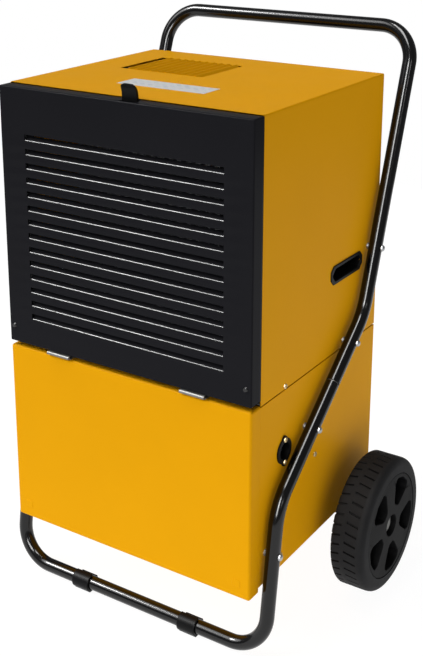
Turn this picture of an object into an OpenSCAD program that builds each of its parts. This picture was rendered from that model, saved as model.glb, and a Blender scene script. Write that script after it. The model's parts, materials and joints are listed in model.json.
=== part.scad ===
// Portable commercial dehumidifier: a sheet-metal cabinet on a bent-tube trolley frame with two wheels.
// Millimetres. +X is the cabinet's right side, +Y is the back, +Z is up, and z = 0 is the floor.
// Each module draws in the cabinet's own frame, whose y = 0 is the front edge of the side panels.
// from_front() moves that frame so that the whole object is centred on the origin.

/* [Cabinet] */
// Width over the side panels
cab_w = 420; // [400:1:450]
// Depth of the side panels
cab_d = 348; // [340:1:370]
// Height of the top panel above the floor
top_z = 785; // [775:1:800]
// Height of the seam between the upper hood and the lower side panels
split_z = 388; // [386:1:390]
// Height of the lower edge of the side panels
side_bottom_z = 113; // [111:1:116]
// Sheet-metal thickness
sheet = 1.5; // [1:0.1:2]

/* [Front door] */
// Depth of the door pan
door_t = 24.5; // [22:0.5:26]
// Height of the door's lower edge
door_bottom_z = 396.5; // [396:0.5:398]
// Height of the door's upper edge
door_top_z = 783.5; // [775:0.5:783.5]
// Number of louvres
louvre_count = 14; // [10:1:14]
// Distance between louvres
louvre_pitch = 20.75; // [18:0.25:20.75]
// Length of each louvre
louvre_w = 332; // [300:1:336]
// Height of the lowest louvre's lip
louvre_low_z = 438; // [432:1:444]
// Height of each louvre's opening
louvre_gap = 9.5; // [7:0.5:11]

/* [Lower front panel] */
// Depth of the lower front panel
apron_t = 24; // [22:0.5:24]
// Height of its lower edge
apron_bottom_z = 104; // [102:1:110]
// Height of its upper edge
apron_top_z = 389.8; // [388:0.2:389.8]

/* [Trolley frame] */
// Outside diameter of the frame tube
tube_d = 21; // [19:0.5:22]
// Wall of the frame tube
tube_wall = 1.5; // [1.2:0.1:2]
// Gap between the tube and the side panel
tube_stand_off = 2.5; // [2.4:0.1:4]
// Height of the centre of the handle bar
handle_z = 844.5; // [835:0.5:860]
// Distance of the handle bar behind the front edge of the side panels
handle_y = 426; // [410:1:440]
// Radius of the bends at the ends of the handle bar and the foot bar
corner_r = 55; // [40:1:65]
// Clear gap between the upper and the lower tube at the joint
joint_gap = 1.5; // [0.5:0.5:3]

/* [Wheels] */
// Wheel diameter
wheel_d = 208; // [190:1:210]
// Wheel width
wheel_w = 55; // [40:1:56]
// Distance between the inner faces of the two wheels
wheel_track = 477; // [472:1:482]
// Distance of the axle behind the front edge of the side panels
axle_y = 261; // [255:1:275]
// Axle diameter
axle_d = 16; // [12:1:18]

/* [Water tank] */
// Width of the tank
tank_w = 300; // [260:1:320]
// Depth of the tank, front to back
tank_d = 158; // [140:1:160]
// Height of the tank
tank_h = 118; // [90:1:120]

/* [Hidden] */
$fn = 48;
half_w = cab_w / 2;
inner_w = half_w - sheet;
eps = 0.01;
clear = 0.3;

tube_r = tube_d / 2;
frame_x = half_w + tube_stand_off + tube_r;
upper_bend = [279.5, 431];
lower_bend = [27, 231];
foot_bar = [-4.5, 14];
upper_bend_r = 90;
lower_bend_r = 80;
arm_v = [handle_y, handle_z] - upper_bend;
diag_v = upper_bend - lower_bend;
leg_v = lower_bend - foot_bar;
diag_slope = atan2(diag_v[1], diag_v[0]);
joint_y = 184;
joint_z = lower_bend[1] + (joint_y - lower_bend[0]) * tan(diag_slope);
tube_sides = 16;

// Bolts through the frame tube into the sides: [y, z] on the tube's centre line
frame_bolt_at = [[313.4, 527], [240, 399.7], [124.5, 308.2], [16.8, 161]];
bolt_r = 3;
bolt_head_r = 5;
bolt_head_h = 4.5;
nut_r = 5.8;
nut_h = 5;

hinge_pin_r = 1.2;
hinge_knuckle_r = 2.6;
hinge_y = -door_t - 1;
hinge_z = 393.4;
hinge_x = 117;
hinge_len = 40;
knuckle_mid = 10;
knuckle_gap = 0.3;

front_most = -hinge_y + hinge_knuckle_r;
rear_most = handle_y + tube_r;
front_y = (front_most - rear_most) / 2;

wheel_r = wheel_d / 2;
wheel_x = wheel_track / 2;
axle_z = wheel_r;
axle_r = axle_d / 2;
run_fit = 0.05;
hub_recess = 12;
hub_recess_r = 17;
axle_half = wheel_x + wheel_w - hub_recess + 6;
bracket_x = 190;
spokes = 5;
spoke_turn = 6;
rim_r = wheel_r - 22;

latch_x = 12;
latch_y = -12;
latch_z = 768;
latch_w = 24;
latch_pin_r = 2;

// The filter: half its width, its front and back, its lower and upper edges, and its rim
filter_half = 174;
filter_y = [-11, -4];
filter_z = [426, 726];
filter_rim = 9;

// The seal between door and cabinet: half its width, its heights and its width all round
seal_half = 197;
seal_z = [404, 780];
seal_w = 12;

grip_y = [193, 293];
grip_z = [498, 527];
grip_rim = 3.5;
grip_depth = 24;
inlet_y = 64.5;
inlet_z = 296;
inlet_screw_step = 17.2;

// The top vent: a window in the hood with slanted blades, and an open slot at its left
vent_x = [-147, 3];
vent_y = [174, 289];
vent_slot = 13;
vent_blades = 10;
vent_pitch = (vent_x[1] - vent_x[0] - vent_slot) / vent_blades;
vent_run = 9.5;
vent_rise = 2.2;
vent_drop = 7;

coil_z = [552, 766];
coil_half_w = 160;
evaporator_y = [90, 130];
condenser_y = [146, 190];
coil_rows = 6;
fan_z = 660;
fan_r = 110;
fan_y = 222;
fan_shaft_r = 4;
motor_y = 262;
motor_r = 42;
motor_clamp_r = 50;
mount_ring_r = 114;
baffle_y = 200;
baffle_collar = 42;
hub_r = 34;

control_z = 455;
control_w = 270;
control_h = 64;
knob_x = -88;
rocker_x = -28;
rocker_tilt = 8;
rocker_pin_r = 1.5;
meter_x = 26;
lamps_x = 76;
lamp_step = 20;
plate_y = cab_d + 3;

shelf_z = 391;
tank_y = 12;
tray_z = 532;
tray_y = [64, 200];
tray_half = 176;
tray_h = 16;
drain_at = [40, 90];
drain_r = 6;
float_x = -60;
float_y = 46;
float_z = 516;
float_pivot_r = 2;

comp_x = 55;
comp_y = 170;
comp_r = 78;
comp_z = 138;
comp_plate = 80;
comp_foot = 68;
comp_foot_r = 6.5;
riser_x = 190;
pipe_r = 4.5;
suction_y = 118;
discharge_y = 176;

screw_shank_r = 2;
screw_head_r = 4;
screw_head_h = 2.2;

// Screws through each side: [y, z] in the side panel
side_screws = [[65, 393.5], [159, 247.5], [61, 132.5], [320, 132.5]];
// Screws in the door's lower corners: [x, z]
door_screw = [201, 422];
// Screws through the back panels: [x, z]
rear_screws = [for (z = [126, 374, 404, 770], x = [-196, 196]) [x, z]];

// ---------------------------------------------------------------- helpers

module from_front() { translate([0, front_y, 0]) children(); }

module both_sides() {
    children();
    mirror([1, 0, 0]) children();
}

// A block given by its two opposite corners
module block(low, high) { translate(low) cube(high - low); }

module cyl_x(r, x0, x1, y, z) { translate([x0, y, z]) rotate([0, 90, 0]) cylinder(h = x1 - x0, r = r); }
module cyl_y(r, y0, y1, x, z) { translate([x, y0, z]) rotate([-90, 0, 0]) cylinder(h = y1 - y0, r = r); }

module ring(r_out, r_in, h) {
    difference() {
        cylinder(h = h, r = r_out);
        translate([0, 0, -1]) cylinder(h = h + 2, r = r_in);
    }
}

function unit(v) = v / norm(v);
function mirror_x(v) = [-v[0], v[1], v[2]];

// Stations of a bend: [point, direction] pairs from the corner where two straight lines meet,
// for a path that comes in along d0 and leaves along d1
function bend_stations(corner, d0, d1, r, steps) =
    let(turn = acos(d0 * d1), side = unit(d1 - d0 * (d0 * d1)), start = corner - d0 * r * tan(turn / 2))
    [for (i = [0 : steps]) let(a = turn * i / steps)
        [start + r * (d0 * sin(a) + side * (1 - cos(a))), d0 * cos(a) + side * sin(a)]];

// The whole tube from its right half: the left half is the same one, reversed and mirrored
function whole_tube(half) = concat(
    [for (i = [len(half) - 1 : -1 : 0]) [mirror_x(half[i][0]), -mirror_x(half[i][1])]], half);

function tube_ring(station, ref, r) =
    let(u = unit(cross(station[1], ref)), v = cross(station[1], u))
    [for (i = [0 : tube_sides - 1]) let(a = 360 * i / tube_sides) station[0] + r * (u * cos(a) + v * sin(a))];

// Hollow tube swept along stations: outer and inner skins joined at both ends
module swept_tube(stations, ref) {
    n = tube_sides;
    last = len(stations) - 1;
    ring_points = [for (s = stations) each
        concat(tube_ring(s, ref, tube_r), tube_ring(s, ref, tube_r - tube_wall))];
    skins = [for (j = [0 : last - 1], i = [0 : n - 1]) each
        let(a = 2 * n * j + i, b = 2 * n * j + (i + 1) % n, step = 2 * n)
        [[a, a + step, b + step, b], [a + n, b + n, b + n + step, a + n + step]]];
    ends = [for (i = [0 : n - 1]) each let(k = (i + 1) % n, top = 2 * n * last)
        [[i, k, k + n, i + n], [top + i, top + i + n, top + k + n, top + k]]];
    polyhedron(points = ring_points, faces = concat(skins, ends), convexity = 8);
}

// Screws of one group: shank along -Z below the origin, head above it
module pan_screw(shank = 6) {
    translate([0, 0, -shank]) cylinder(h = shank + eps, r = screw_shank_r);
    cylinder(h = screw_head_h, r1 = screw_head_r, r2 = screw_head_r * 0.7);
}

module side_screw_places() {
    for (p = side_screws) translate([half_w, p[0], p[1]]) rotate([0, 90, 0]) children();
}

module inlet_screw_places(x) {
    for (k = [-1, 1]) translate([x, inlet_y, inlet_z + k * inlet_screw_step]) rotate([0, 90, 0]) children();
}

module frame_bolt_places() {
    for (p = frame_bolt_at) translate([0, p[0], p[1]]) rotate([0, 90, 0]) children();
}

// Holes for the frame bolts through everything between x0 and x1
module frame_bolt_holes(x0, x1) {
    frame_bolt_places() translate([0, 0, x0]) cylinder(h = x1 - x0, r = bolt_r + 0.1);
}

module rear_screw_places() {
    for (p = rear_screws) translate([p[0], cab_d, p[1]]) rotate([-90, 0, 0]) children();
}

// Screw and bolt holes through the side at +X
module side_holes() {
    side_screw_places() cylinder(h = 20, r = screw_shank_r + 0.1, center = true);
    frame_bolt_holes(inner_w - 2, half_w + 1);
}

module door_screw_place() {
    translate([door_screw[0], -door_t, door_screw[1]]) rotate([90, 0, 0]) children();
}

module rear_holes() { rear_screw_places() cylinder(h = 20, r = screw_shank_r + 0.1, center = true); }

// Outline of the side grip: a rectangle with cut corners, at plane x
module grip_outline(x0, x1, grow = 0, cut = 8) {
    y0 = grip_y[0] - grow;
    y1 = grip_y[1] + grow;
    z0 = grip_z[0] - grow;
    z1 = grip_z[1] + grow;
    translate([x0, 0, 0]) rotate([90, 0, 90]) linear_extrude(x1 - x0)
        polygon([[y0 + cut, z0], [y1 - cut, z0], [y1, z0 + cut], [y1, z1 - cut],
            [y1 - cut, z1], [y0 + cut, z1], [y0, z1 - cut], [y0, z0 + cut]]);
}

// ---------------------------------------------------------------- cabinet

module upper_hood() {
    color("goldenrod") from_front() difference() {
        block([-half_w, 0, split_z], [half_w, cab_d, top_z]);
        block([-inner_w, -1, split_z - 1], [inner_w, cab_d + 1, top_z - sheet]);
        both_sides() {
            grip_outline(inner_w - 5, half_w + 5, -3.2);
            side_holes();
        }
        block([vent_x[0], vent_y[0], top_z - 5], [vent_x[1], vent_y[1], top_z + 5]);
    }
    color("goldenrod") from_front() for (i = [0 : vent_blades - 1])
        translate([vent_x[0] + vent_slot + i * vent_pitch, 0, top_z]) vent_blade();
}

// One blade of the top vent: its left edge stands a little over the hood and it slopes down to the right.
// Its ends run a little into the sheet, which holds it.
module vent_blade() {
    end = 1;
    t = 1.2;
    translate([0, vent_y[1] + end, 0]) rotate([90, 0, 0]) linear_extrude(vent_y[1] - vent_y[0] + 2 * end)
        polygon([[0, vent_rise], [t, vent_rise], [vent_run, -vent_drop], [vent_run - t, -vent_drop],
            [0, vent_rise - t]]);
}

module lower_side() {
    difference() {
        block([inner_w, 0, side_bottom_z], [half_w, cab_d, split_z - 0.5]);
        side_holes();
    }
}

module lower_side_left() { color("goldenrod") from_front() mirror([1, 0, 0]) lower_side(); }

module lower_side_right() {
    color("goldenrod") from_front() difference() {
        lower_side();
        cyl_x(16.5, inner_w - 5, half_w + 5, inlet_y, inlet_z);
        inlet_screw_places(half_w) cylinder(h = 20, r = screw_shank_r + 0.1, center = true);
    }
}

module base_pan() {
    pan_half = inner_w - clear;
    color("goldenrod") from_front() difference() {
        block([-pan_half, 1, side_bottom_z], [pan_half, cab_d - 2, side_bottom_z + 26]);
        block([-pan_half + 2, 3, side_bottom_z + 2], [pan_half - 2, cab_d - 4, side_bottom_z + 27]);
        both_sides() side_holes();
        rear_holes();
    }
}

module lower_front_panel() {
    color("goldenrod") from_front() {
        difference() {
            block([-half_w, -apron_t, apron_bottom_z], [half_w, -clear, apron_top_z]);
            block([-inner_w, -apron_t + sheet, apron_bottom_z + sheet], [inner_w, 1, apron_top_z - sheet]);
        }
        both_sides() block([181, -apron_t - 0.6, 121], [195, -apron_t + eps, 133]);
    }
}

module rear_upper_panel() {
    panel_half = inner_w - clear;
    color("goldenrod") from_front() difference() {
        block([-panel_half, cab_d - sheet, split_z + 1], [panel_half, cab_d, top_z - sheet - clear]);
        cyl_y(fan_r, cab_d - 5, cab_d + 5, 0, fan_z);
        block([-control_w / 2 + 10, cab_d - 5, control_z - control_h / 2 + 8],
            [control_w / 2 - 10, cab_d + 5, control_z + control_h / 2 - 8]);
        rear_holes();
    }
}

module rear_lower_panel() {
    panel_half = inner_w - clear;
    color("goldenrod") from_front() difference() {
        block([-panel_half, cab_d - sheet, side_bottom_z], [panel_half, cab_d, split_z - 1]);
        rear_holes();
    }
}

module front_frame() {
    opening_half = 178;
    opening_z = [409, 771];
    y = 1;
    color("dimgray") from_front() difference() {
        block([-inner_w + clear, y, shelf_z + 2], [inner_w - clear, y + sheet, top_z - sheet - clear]);
        block([-opening_half, 0, opening_z[0]], [opening_half, 4, opening_z[1]]);
    }
}

module equipment_shelf() {
    color("silver") from_front() difference() {
        block([-inner_w + clear, 3, shelf_z - sheet], [inner_w - clear, cab_d - sheet - clear, shelf_z]);
        for (y = [suction_y, discharge_y])
            translate([riser_x, y, shelf_z - 5]) cylinder(h = 10, r = pipe_r + 1.5);
    }
}

module fan_baffle() {
    back = baffle_y + sheet;
    color("silver") from_front() {
        difference() {
            block([-inner_w + 1, baffle_y, shelf_z + clear], [inner_w - 1, back, top_z - 3]);
            cyl_y(fan_r + 2, baffle_y - 5, back + 5, 0, fan_z);
            // notches round the cups of the side grips
            both_sides() block([half_w - grip_depth - 2, baffle_y - 5, grip_z[0] - 3],
                [half_w + 5, back + 5, grip_z[1] + 3]);
            // notch under the blades of the top vent
            block([vent_x[0] - 2, baffle_y - 5, top_z - vent_drop - 3], [vent_x[1] + 2, back + 5, top_z]);
        }
        translate([0, back, fan_z]) rotate([-90, 0, 0]) ring(fan_r + 4, fan_r + 2, baffle_collar);
    }
}

// ---------------------------------------------------------------- door

// One louvre's blade: a rounded lip at the face and a flap that leans in and up behind it
module louvre_blade() {
    rotate([90, 0, 90]) translate([0, 0, -louvre_w / 2]) linear_extrude(louvre_w)
        polygon([[-door_t, -2], [-door_t + sheet, -2], [-door_t + sheet, -0.8], [-door_t + 9, 6.6],
            [-door_t + 8, 7.8], [-door_t + 0.9, 0.5], [-door_t, -0.8]]);
}

module front_door() {
    face_y = -door_t;
    // slot in the top flange that the latch stands through: [front, back]
    slot_y = [-22, -4];
    lug = 3;
    color([0.14, 0.14, 0.16]) from_front() {
        difference() {
            block([-half_w, face_y, door_bottom_z], [half_w, -0.5, door_top_z]);
            block([-inner_w, face_y + sheet, door_bottom_z + sheet], [inner_w, 1, door_top_z - sheet]);
            for (i = [0 : louvre_count - 1]) {
                z = louvre_low_z + i * louvre_pitch;
                block([-louvre_w / 2, face_y - 1, z - 2], [louvre_w / 2, face_y + 5, z + louvre_gap]);
            }
            block([latch_x - latch_w / 2 - 1, slot_y[0], door_top_z - 5],
                [latch_x + latch_w / 2 + 1, slot_y[1], door_top_z + 5]);
            both_sides() door_screw_place() cylinder(h = 20, r = screw_shank_r + 0.1, center = true);
        }
        for (i = [0 : louvre_count - 1]) translate([0, 0, louvre_low_z + i * louvre_pitch]) louvre_blade();
        // lugs that hold the latch pin
        for (k = [-1, 1]) difference() {
            translate([latch_x + k * (latch_w / 2 + lug / 2 + 2), 0, 0])
                block([-lug / 2, face_y + 1, latch_z - 6], [lug / 2, latch_y + 5, latch_z + 6]);
            cyl_x(latch_pin_r, latch_x - latch_w, latch_x + latch_w, latch_y, latch_z);
        }
    }
}

// Channels on the inside of the door that the filter slides in
module filter_channels() {
    lip = 1;
    web = 1.2;
    x_in = filter_half + clear;
    x_out = x_in + 11.7;
    y0 = filter_y[0] - clear;
    y1 = filter_y[1] + clear;
    z0 = filter_z[0] - 2;
    z1 = filter_z[1] + 2;
    color([0.2, 0.2, 0.22]) from_front() both_sides() {
        block([x_in, y0 - lip, z0], [x_out, y0, z1]);
        block([x_in, y1, z0], [x_out, y1 + lip, z1]);
        block([x_in, y0 - 0.1, z0], [x_in + web, y1 + 0.1, z1]);
    }
}

module door_gasket() {
    color([0.1, 0.1, 0.1]) from_front() difference() {
        block([-seal_half, -1, seal_z[0]], [seal_half, 1, seal_z[1]]);
        block([-seal_half + seal_w, -2, seal_z[0] + seal_w], [seal_half - seal_w, 2, seal_z[1] - seal_w]);
    }
}

module filter_frame() {
    x = filter_half - filter_rim;
    color([0.25, 0.25, 0.27]) from_front() difference() {
        block([-filter_half, filter_y[0], filter_z[0]], [filter_half, filter_y[1], filter_z[1]]);
        block([-x, filter_y[0] - 1, filter_z[0] + filter_rim],
            [x, filter_y[1] + 1, filter_z[1] - filter_rim]);
    }
}

module filter_mesh() {
    x = filter_half - filter_rim;
    y = filter_y[0] + 2.5;
    color([0.4, 0.42, 0.45]) from_front()
        block([-x, y, filter_z[0] + filter_rim], [x, y + 1.5, filter_z[1] - filter_rim]);
}

module latch_lever() {
    w = latch_w / 2;
    color([0.1, 0.1, 0.1]) from_front() difference() {
        union() {
            cyl_x(5, latch_x - w, latch_x + w, latch_y, latch_z);
            // the tab's upper end curls forward and has round corners
            intersection() {
                translate([latch_x - w, latch_y, latch_z]) rotate([90, 0, 90]) linear_extrude(latch_w)
                    polygon([[-2.5, 0], [2.5, 0], [2.5, 20], [1, 28], [-3.5, 38.5], [-8, 39.5], [-8.5, 37.5],
                        [-5, 33], [-3, 26], [-2.5, 18]]);
                union() {
                    block([latch_x - w, latch_y - 15, latch_z - 1], [latch_x + w, latch_y + 5, latch_z + 27]);
                    cyl_y(w + 2, latch_y - 15, latch_y + 5, latch_x, latch_z + 26);
                }
            }
            block([latch_x - w, latch_y, latch_z - 4], [latch_x + w, latch_y + 7.5, latch_z - 0.5]);
        }
        cyl_x(latch_pin_r + run_fit, latch_x - 30, latch_x + 30, latch_y, latch_z);
    }
}

// The latch's pivot pin, and the screws in the door's two lower corners
module door_fasteners() {
    reach = latch_w / 2 + 5.5;
    color("silver") from_front() {
        cyl_x(latch_pin_r, latch_x - reach, latch_x + reach, latch_y, latch_z);
        both_sides() door_screw_place() pan_screw();
    }
}

// ---------------------------------------------------------------- door hinges

module hinge_places() { for (k = [-1, 1]) translate([k * hinge_x, 0, 0]) children(); }

module hinge_body_leaves() {
    leaf = 1.2;
    under = hinge_z - hinge_knuckle_r;
    color("silver") from_front() hinge_places() {
        cyl_x(hinge_knuckle_r, -knuckle_mid, knuckle_mid, hinge_y, hinge_z);
        block([-knuckle_mid, hinge_y, under], [knuckle_mid, hinge_y + 6, under + leaf]);
        block([-hinge_len / 2, hinge_y + 3.2, apron_top_z], [hinge_len / 2, -1, apron_top_z + leaf]);
        cyl_x(hinge_pin_r, -hinge_len / 2, hinge_len / 2, hinge_y, hinge_z);
    }
}

module hinge_door_leaves() {
    over = hinge_z + hinge_knuckle_r;
    knuckle_start = knuckle_mid + knuckle_gap;
    color("silver") from_front() hinge_places() {
        both_sides() difference() {
            union() {
                cyl_x(hinge_knuckle_r, knuckle_start, hinge_len / 2, hinge_y, hinge_z);
                block([knuckle_start, hinge_y, over - 1.1], [hinge_len / 2, hinge_y + 6, over]);
            }
            cyl_x(hinge_pin_r + run_fit, knuckle_mid, hinge_len, hinge_y, hinge_z);
        }
        block([-hinge_len / 2, hinge_y + 3.6, door_bottom_z - 1.3], [hinge_len / 2, -2, door_bottom_z]);
    }
}

// ---------------------------------------------------------------- air path and refrigerant circuit

// Corrugated fin block between y[0] and y[1], with end plates that stand in the drip tray, and the return
// bends of its tubes
module coil(y) {
    fin = 0.8;
    fin_count = 40;
    margin = 3;
    bend_r = 8;
    coil_tube_r = 4;
    pitch = (2 * coil_half_w - fin) / fin_count;
    height = coil_z[1] - coil_z[0];
    translate([-coil_half_w, 0, coil_z[0]]) linear_extrude(height) {
        for (i = [0 : fin_count]) translate([i * pitch, y[0]]) square([fin, y[1] - y[0]]);
        for (i = [0 : fin_count - 1])
            translate([i * pitch, i % 2 == 0 ? y[0] : y[1] - fin]) square([pitch + fin, fin]);
    }
    both_sides() {
        block([coil_half_w, y[0] - margin, tray_z + 2.5],
            [coil_half_w + sheet, y[1] + margin, coil_z[1] + 2]);
        for (i = [0 : coil_rows - 1])
            translate([coil_half_w + sheet, (y[0] + y[1]) / 2, coil_z[0] + height * (i + 0.5) / coil_rows])
                rotate([90, 0, 0]) rotate([0, 0, -90])
                    rotate_extrude(angle = 180) translate([bend_r, 0]) circle(r = coil_tube_r);
    }
}

module evaporator() { color([0.75, 0.77, 0.8]) from_front() coil(evaporator_y); }
module condenser() { color([0.7, 0.72, 0.75]) from_front() coil(condenser_y); }

// Sealed steel can on a mounting plate; the void stands for the motor's lighter inside
module compressor() {
    can_wall = 10;
    plate_t = 6;
    color([0.12, 0.12, 0.13]) from_front() translate([comp_x, comp_y, comp_z]) {
        difference() {
            rotate_extrude() polygon([[0, 0], [55, 0], [comp_r - 6, 12], [comp_r, 26], [comp_r, 96],
                [comp_r + 3, 98], [comp_r + 3, 104], [comp_r, 106], [comp_r, 176], [comp_r - 8, 196],
                [comp_r - 30, 210], [0, 216]]);
            translate([0, 0, 18]) cylinder(h = 174, r = comp_r - can_wall);
        }
        difference() {
            translate([-comp_plate, -comp_plate, -plate_t]) cube([2 * comp_plate, 2 * comp_plate, plate_t]);
            for (x = [-comp_foot, comp_foot], y = [-comp_foot, comp_foot])
                translate([x, y, -plate_t - 1]) cylinder(h = plate_t + 2, r = comp_foot_r + 0.5);
        }
    }
}

module compressor_feet() {
    floor_z = side_bottom_z + 2;
    color([0.08, 0.08, 0.08]) from_front() for (x = [-comp_foot, comp_foot], y = [-comp_foot, comp_foot])
        translate([comp_x + x, comp_y + y, floor_z]) {
            cylinder(h = comp_z - 6 - floor_z, r = 12);
            cylinder(h = comp_z + 3 - floor_z, r = comp_foot_r);
        }
}

// Pipe from the compressor's side out to the riser, up through the shelf and in to a coil's end plate
module riser_pipe(y, z_low, z_high) {
    low_bend = 20;
    high_bend = 10;
    difference() {
        cyl_x(pipe_r, comp_x, riser_x - low_bend, y, z_low);
        translate([comp_x, comp_y, z_low - 20]) cylinder(h = 40, r = comp_r);
    }
    translate([riser_x - low_bend, y, z_low + low_bend]) rotate([90, 0, 0])
        rotate_extrude(angle = 90, start = -90) translate([low_bend, 0]) circle(r = pipe_r);
    translate([riser_x, y, z_low + low_bend]) cylinder(h = z_high - z_low - low_bend - high_bend, r = pipe_r);
    translate([riser_x - high_bend, y, z_high - high_bend]) rotate([90, 0, 0])
        rotate_extrude(angle = 90) translate([high_bend, 0]) circle(r = pipe_r);
    cyl_x(pipe_r, coil_half_w + sheet, riser_x - high_bend, y, z_high);
}

module suction_pipe() { color([0.72, 0.42, 0.26]) from_front() riser_pipe(suction_y, 290, 587.4); }
module discharge_pipe() { color([0.72, 0.42, 0.26]) from_front() riser_pipe(discharge_y, 250, 623.2); }

module filter_drier() {
    color([0.72, 0.42, 0.26]) from_front() translate([-60, 262, side_bottom_z + 28]) rotate_extrude()
        polygon([[0, -26], [4, -26], [4, -12], [13, 0], [13, 96], [4, 108], [4, 122], [0, 122]]);
}

module fan_motor() {
    color([0.3, 0.31, 0.33]) from_front() {
        translate([0, motor_y, fan_z]) rotate([-90, 0, 0]) rotate_extrude()
            polygon([[0, 0], [14, 0], [14, 6], [motor_r - 8, 6], [motor_r, 14], [motor_r, 50],
                [motor_r - 8, 58], [0, 58]]);
        cyl_y(fan_shaft_r, fan_y - 12, motor_y + 1, 0, fan_z);
    }
}

// Clamp round the motor, and four straps out to a ring that stands on the baffle
module motor_bracket() {
    strap = 12;
    strap_t = 3;
    ring_y = motor_y + 26;
    leg_w = 16;
    leg = ring_y - baffle_y - sheet - baffle_collar;
    color("silver") from_front() translate([0, ring_y, fan_z]) rotate([-90, 0, 0]) {
        ring(motor_clamp_r, motor_r, strap);
        ring(mount_ring_r, fan_r, strap_t);
        for (a = [45 : 90 : 315]) rotate([0, 0, a]) {
            translate([motor_clamp_r - 1, -strap / 2, 0]) cube([62, strap, strap_t]);
            translate([fan_r + 1, -leg_w / 2, -leg]) cube([3, leg_w, leg + 0.1]);
        }
    }
}

module fan_rotor() {
    blades = 5;
    hub_w = 26;
    chord = 48;
    pitch_angle = 32;
    color([0.15, 0.15, 0.16]) from_front() translate([0, fan_y, fan_z]) rotate([-90, 0, 0]) {
        ring(hub_r, fan_shaft_r + run_fit, hub_w);
        for (i = [0 : blades - 1]) rotate([0, 0, i * 360 / blades])
            intersection() {
                translate([hub_r - 4, 0, hub_w / 2]) rotate([pitch_angle, 0, 0])
                    translate([0, -chord / 2, -1]) cube([fan_r - 38, chord, 2]);
                cylinder(h = 60, r = fan_r - 8, center = true);
            }
    }
}

module outlet_guard() {
    wire = 2.4;
    stand_off = 2;
    rim_in = 108;
    rim_out = 118;
    color([0.1, 0.1, 0.1]) from_front() translate([0, cab_d, fan_z]) rotate([-90, 0, 0]) {
        translate([0, 0, stand_off]) linear_extrude(wire) {
            for (r = [20 : 15 : 95]) difference() {
                circle(r = r + wire / 2);
                circle(r = r - wire / 2);
            }
            for (a = [0 : 45 : 315]) rotate(a) translate([0, -wire / 2]) square([rim_in + 1, wire]);
            circle(r = 12);
        }
        ring(rim_out, rim_in, stand_off + wire);
    }
}

// ---------------------------------------------------------------- water

module drip_tray() {
    wall = 2;
    bottom = 2.5;
    color([0.2, 0.2, 0.22]) from_front() difference() {
        block([-tray_half, tray_y[0], tray_z], [tray_half, tray_y[1], tray_z + tray_h]);
        block([-tray_half + wall, tray_y[0] + bottom, tray_z + bottom],
            [tray_half - wall, tray_y[1] - bottom, tray_z + tray_h + 1]);
        translate([drain_at[0], drain_at[1], tray_z - 1]) cylinder(h = bottom + 2.5, r = drain_r);
    }
}

module drain_hose() {
    drop = 30;
    color([0.6, 0.62, 0.6]) from_front()
        translate([drain_at[0], drain_at[1], tray_z - drop]) ring(drain_r, drain_r - 2, drop + 2.5);
}

// Open tank with a finger ledge along its front
module water_tank() {
    wall = 2.5;
    tank_top = shelf_z + tank_h;
    color([0.82, 0.84, 0.86]) from_front() {
        difference() {
            block([-tank_w / 2, tank_y, shelf_z + clear], [tank_w / 2, tank_y + tank_d, tank_top]);
            block([-tank_w / 2 + wall, tank_y + wall, shelf_z + wall],
                [tank_w / 2 - wall, tank_y + tank_d - wall, tank_top + 1]);
        }
        block([-60, tank_y - 7, tank_top - 3], [60, tank_y + eps, tank_top]);
    }
}

module float_lever() {
    arm = 52;
    color([0.9, 0.9, 0.88]) from_front() difference() {
        union() {
            cyl_x(4.5, float_x - 4, float_x + 4, float_y, float_z);
            block([float_x - 3, float_y, float_z - 2], [float_x + 3, float_y + arm, float_z + 2]);
            translate([float_x, float_y + arm, float_z - 26]) cylinder(h = 26, r = 3.5);
            translate([float_x, float_y + arm, float_z - 46]) cylinder(h = 22, r = 17);
        }
        cyl_x(float_pivot_r + run_fit, float_x - 9, float_x + 9, float_y, float_z);
    }
}

module float_bracket() {
    color("silver") from_front() {
        cyl_x(float_pivot_r, float_x - 9, float_x + 9, float_y, float_z);
        for (k = [-1, 1]) block([float_x + k * 6.5 - 1.5, float_y - 6, float_z - 6],
            [float_x + k * 6.5 + 1.5, float_y + 18, tray_z + 8]);
        block([float_x - 22, float_y + 16.2, tray_z], [float_x + 22, float_y + 18, tray_z + 14]);
    }
}

module float_switch() {
    color([0.1, 0.1, 0.1]) from_front()
        block([float_x + 9.3, float_y - 4, float_z - 5], [float_x + 16.3, float_y + 16, float_z + 6]);
}

// ---------------------------------------------------------------- electrics and controls

module electrical_box() {
    wall = 3;
    back_wall = 2.5;
    right_x = -140;
    y = [60, 200];
    z = [200, 330];
    color([0.25, 0.26, 0.28]) from_front() difference() {
        block([-inner_w, y[0], z[0]], [right_x, y[1], z[1]]);
        block([-inner_w - 1, y[0] + wall, z[0] + wall], [right_x - back_wall, y[1] - wall, z[1] - wall]);
    }
}

module run_capacitor() {
    color([0.8, 0.8, 0.82]) from_front() translate([-170, 240, side_bottom_z + 2]) {
        cylinder(h = 80, r = 19);
        for (x = [-6, 6]) translate([x, 0, 80]) cylinder(h = 8, r = 2.5);
    }
}

module control_plate() {
    front = cab_d - 1;
    back = plate_y + 1;
    color([0.12, 0.12, 0.13]) from_front() difference() {
        block([-control_w / 2, cab_d, control_z - control_h / 2],
            [control_w / 2, plate_y, control_z + control_h / 2]);
        cyl_y(5, front, back, knob_x, control_z);
        block([rocker_x - 11, front, control_z - 15], [rocker_x + 11, back, control_z + 15]);
        block([meter_x - 18, front, control_z - 12], [meter_x + 18, back, control_z + 12]);
        for (i = [0 : 2]) cyl_y(4, front, back, lamps_x + i * lamp_step, control_z);
    }
}

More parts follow.
